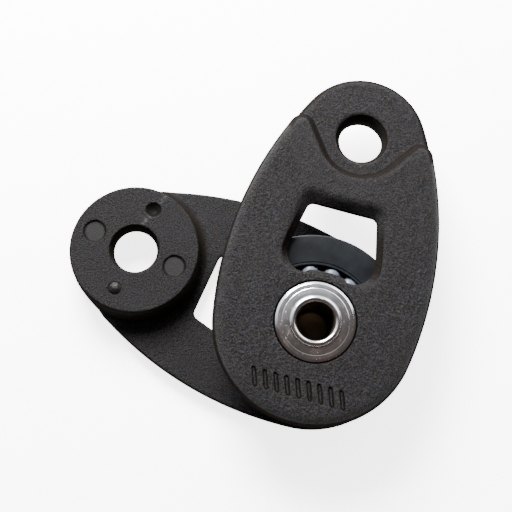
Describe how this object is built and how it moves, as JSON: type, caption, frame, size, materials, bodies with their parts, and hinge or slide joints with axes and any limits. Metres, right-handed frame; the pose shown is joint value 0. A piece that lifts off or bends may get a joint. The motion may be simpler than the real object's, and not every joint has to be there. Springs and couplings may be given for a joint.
{
  "type": "single sheave block",
  "caption": "Opening single sheave loop block: two tear-drop cheeks swing on a hollow rivet round a ball-bearing sheave; swung open.",
  "frame": {"origin": "centre of the rivet's flat rear head, in the plane that the rear cheek lies on", "axes": "+Z along the rivet towards the front cheek, +Y from the rivet to the rear cheek's eye, +X to the right seen from the front"},
  "size_m": [0.0787, 0.0782, 0.0175],
  "materials": {
    "cheek_nylon": "spark-eroded texture",
    "sheave_acetal": "satin, as moulded",
    "ball_acetal": "smooth",
    "race_steel": "turned",
    "stainless": "turned and polished"
  },
  "bodies": {
    "rear_half": {"rear_cheek": "cheek_nylon", "axle_rivet": "stainless", "inner_race": "race_steel"},
    "front_washer": {"front_washer": "stainless"},
    "front_cheek": {"front_cheek": "cheek_nylon"},
    "sheave": {"sheave": "sheave_acetal"},
    "front_balls": {"front_ball_01": "ball_acetal", "front_ball_02": "ball_acetal", "front_ball_03": "ball_acetal", "front_ball_04": "ball_acetal", "front_ball_05": "ball_acetal", "front_ball_06": "ball_acetal", "front_ball_07": "ball_acetal", "front_ball_08": "ball_acetal", "front_ball_09": "ball_acetal", "front_ball_10": "ball_acetal", "front_ball_11": "ball_acetal", "front_ball_12": "ball_acetal", "front_ball_13": "ball_acetal", "front_ball_14": "ball_acetal", "front_ball_15": "ball_acetal", "front_ball_16": "ball_acetal"},
    "rear_balls": {"rear_ball_01": "ball_acetal", "rear_ball_02": "ball_acetal", "rear_ball_03": "ball_acetal", "rear_ball_04": "ball_acetal", "rear_ball_05": "ball_acetal", "rear_ball_06": "ball_acetal", "rear_ball_07": "ball_acetal", "rear_ball_08": "ball_acetal", "rear_ball_09": "ball_acetal", "rear_ball_10": "ball_acetal", "rear_ball_11": "ball_acetal", "rear_ball_12": "ball_acetal", "rear_ball_13": "ball_acetal", "rear_ball_14": "ball_acetal", "rear_ball_15": "ball_acetal", "rear_ball_16": "ball_acetal"}
  },
  "joints": [
    {"name": "cheek_swing", "type": "hinge", "parent": "rear_half", "child": "front_washer", "pos_m": [0, 0, 0.015], "axis": [0, 0, 1], "range_deg": [-239, 81]},
    {"name": "cheek_float", "type": "slide", "parent": "front_washer", "child": "front_cheek", "axis": [0, 0, -1], "range_m": [0, 0.0006]},
    {"name": "sheave_spin", "type": "hinge", "parent": "rear_half", "child": "sheave", "pos_m": [0, 0, 0.0079], "axis": [0, 0, 1], "continuous": true},
    {"name": "front_balls_roll", "type": "hinge", "parent": "rear_half", "child": "front_balls", "pos_m": [0, 0, 0.0104], "axis": [0, 0, 1], "continuous": true},
    {"name": "rear_balls_roll", "type": "hinge", "parent": "rear_half", "child": "rear_balls", "pos_m": [0, 0, 0.0054], "axis": [0, 0, 1], "continuous": true}
  ],
  "couplings": [
    {"joint": "front_balls_roll", "follows": "sheave_spin", "ratio": 0.5862},
    {"joint": "rear_balls_roll", "follows": "sheave_spin", "ratio": 0.5862}
  ]
}
